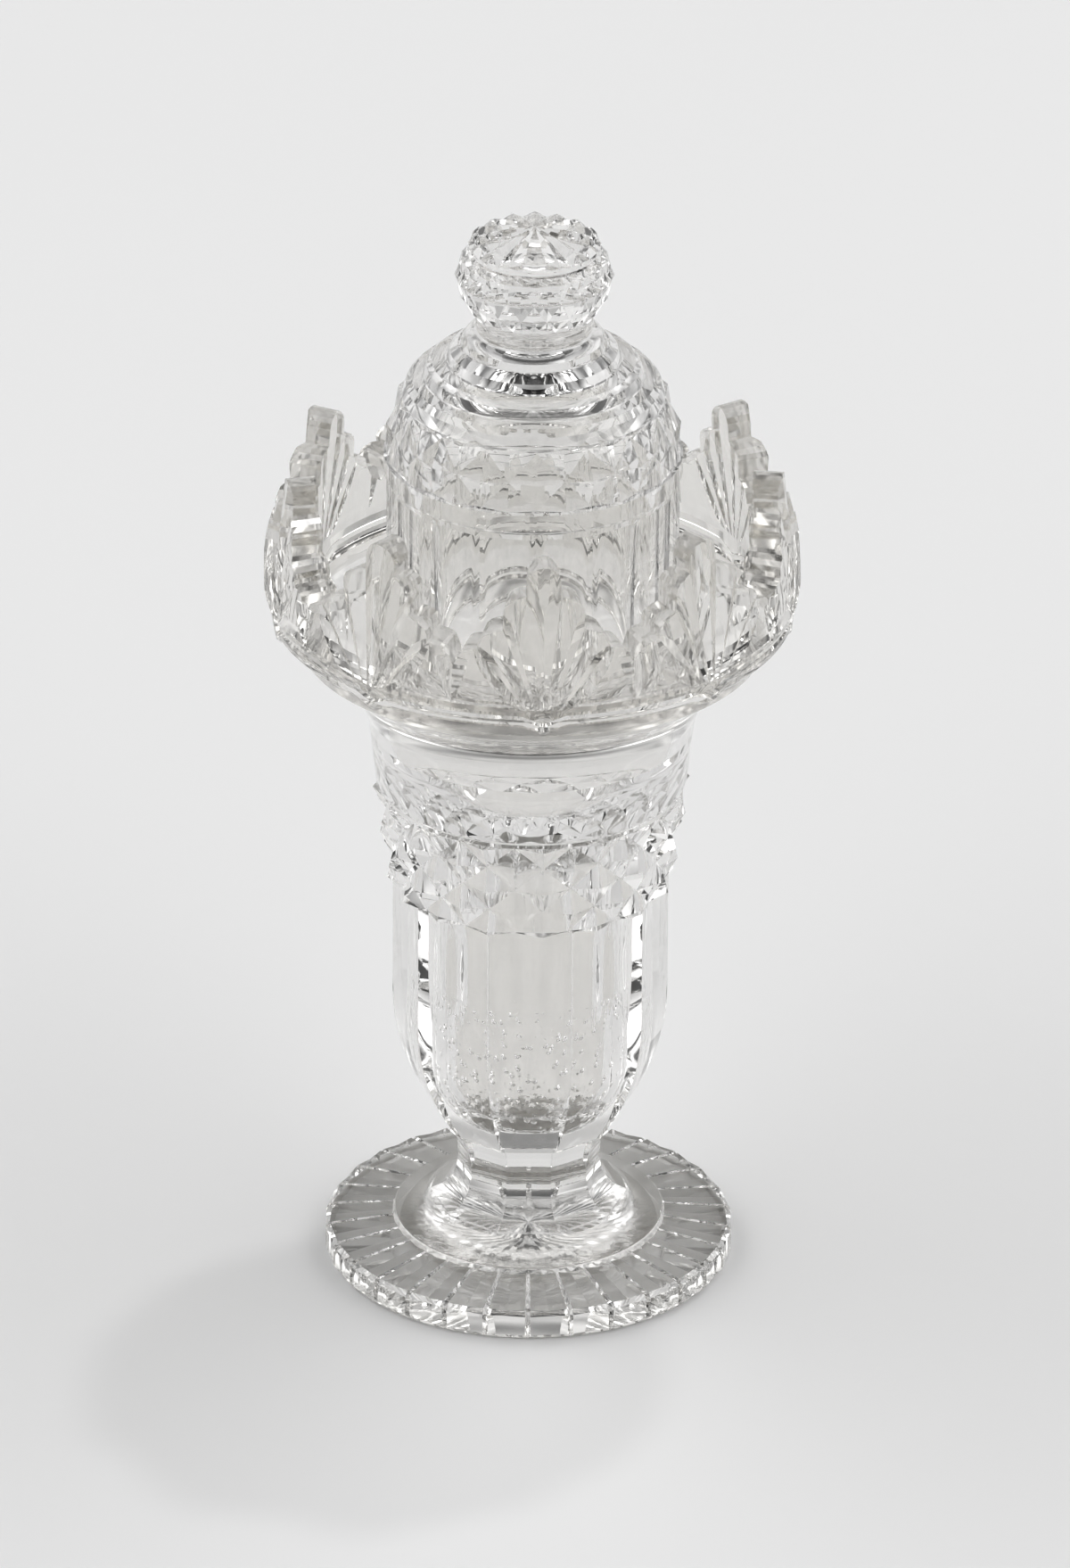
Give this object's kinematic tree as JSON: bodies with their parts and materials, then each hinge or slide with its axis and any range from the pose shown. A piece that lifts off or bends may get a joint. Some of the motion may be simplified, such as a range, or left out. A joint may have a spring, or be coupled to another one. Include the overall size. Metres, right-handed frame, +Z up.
{
  "type": "powder jar",
  "caption": "Covered cut-glass powder jar on a round foot, with a fluted bowl, a crown of stepped fans and a lift-off domed cover with a faceted knob.",
  "frame": {"origin": "centre of the foot's underside, on the surface that the jar stands on", "axes": "+Z up along the jar's own axis, through the knob; -Y is the front, where one fan of the crown faces almost straight forward"},
  "size_m": [0.113, 0.113, 0.2405],
  "materials": {
    "jar_glass": "clear cut glass, polished facets",
    "cover_glass": "clear cut glass, polished facets"
  },
  "bodies": {
    "jar": {"foot": "jar_glass", "stem": "jar_glass", "bowl": "jar_glass", "crown": "jar_glass"},
    "cover": {"cover_rim": "cover_glass", "cover_dome": "cover_glass", "knob": "cover_glass"}
  },
  "joints": [
    {"name": "cover_lift", "type": "slide", "parent": "jar", "child": "cover", "axis": [0, 0, 1], "range_m": [0, 0.05]}
  ]
}
